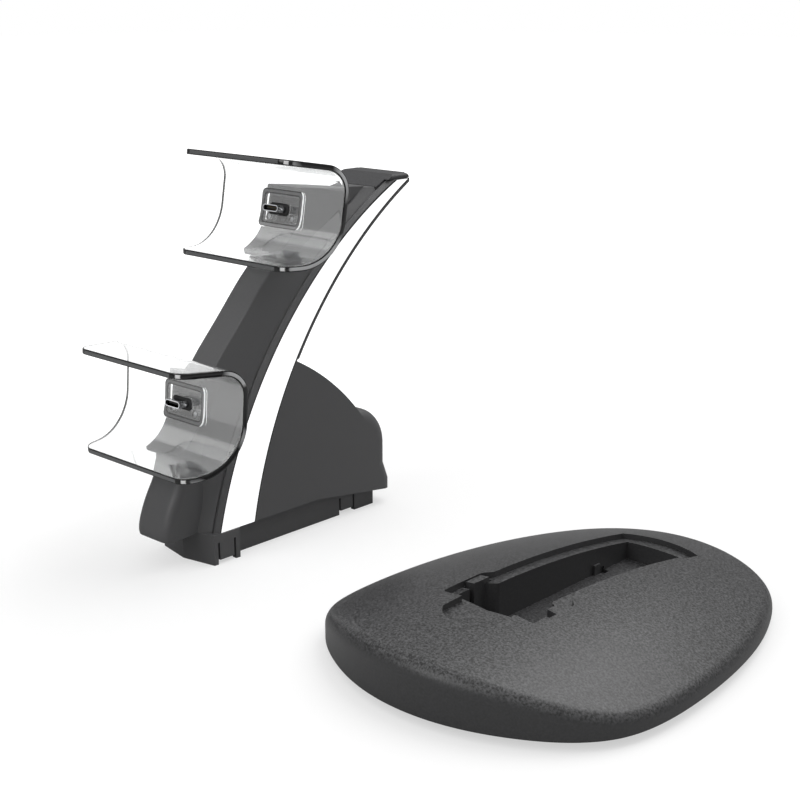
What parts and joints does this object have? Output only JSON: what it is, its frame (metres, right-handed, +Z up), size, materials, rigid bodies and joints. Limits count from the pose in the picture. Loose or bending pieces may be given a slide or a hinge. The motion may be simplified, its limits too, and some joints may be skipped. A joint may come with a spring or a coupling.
{
  "type": "controller charging dock",
  "caption": "Curved charging tower with clear cradles one above the other, standing beside the domed base that its foot drops into.",
  "frame": {"origin": "centre of the bounding box in plan, at the height of the surface that tower and base stand on", "axes": "+X from the tower towards the base, across both; +Y from the cradles' open side to the rear; +Z up"},
  "size_m": [0.2404, 0.1624, 0.1488],
  "materials": {
    "tower_plastic": "moulded ABS, fine satin",
    "grained_plastic": "moulded ABS, spark-eroded grain",
    "base_plastic": "moulded ABS, spark-eroded grain",
    "black_plastic": "moulded, fine matt",
    "frame_plastic": "moulded, satin",
    "clear_plastic": "clear moulded polycarbonate, polished",
    "white_diffuser": "translucent white, satin",
    "plug_metal": "dark nickel plate",
    "screw_steel": "zinc plated",
    "ballast_steel": "plain steel",
    "foot_rubber": "moulded, matt",
    "circuit_board": "epoxy glass with solder mask",
    "lead_film": "polyimide film"
  },
  "bodies": {
    "root": {"back_cover": "tower_plastic", "ballast_left": "ballast_steel", "ballast_right": "ballast_steel", "base_cover": "tower_plastic", "base_screws": "screw_steel", "base_shell": "base_plastic", "controller_chip": "black_plastic", "cradle_frame_lower": "frame_plastic", "cradle_frame_upper": "frame_plastic", "cradle_lower": "clear_plastic", "cradle_screws_lower": "screw_steel", "cradle_screws_upper": "screw_steel", "cradle_upper": "clear_plastic", "foot_front_left": "foot_rubber", "foot_front_right": "foot_rubber", "foot_rear_left": "foot_rubber", "foot_rear_right": "foot_rubber", "front_cover": "tower_plastic", "inlet_socket": "black_plastic", "light_board_left": "circuit_board", "light_board_right": "circuit_board", "light_strip_left": "white_diffuser", "light_strip_right": "white_diffuser", "main_board": "circuit_board", "plug_board_lower": "circuit_board", "plug_board_upper": "circuit_board", "plug_body_lower": "black_plastic", "plug_body_upper": "black_plastic", "plug_frame": "tower_plastic", "plug_frame_screws": "screw_steel", "plug_shell_lower": "plug_metal", "plug_shell_upper": "plug_metal", "plug_tongue_lower": "black_plastic", "plug_tongue_upper": "black_plastic", "ribbon_lead": "lead_film", "side_shell_left": "tower_plastic", "side_shell_right": "tower_plastic", "top_cap": "grained_plastic"}
  },
  "joints": []
}
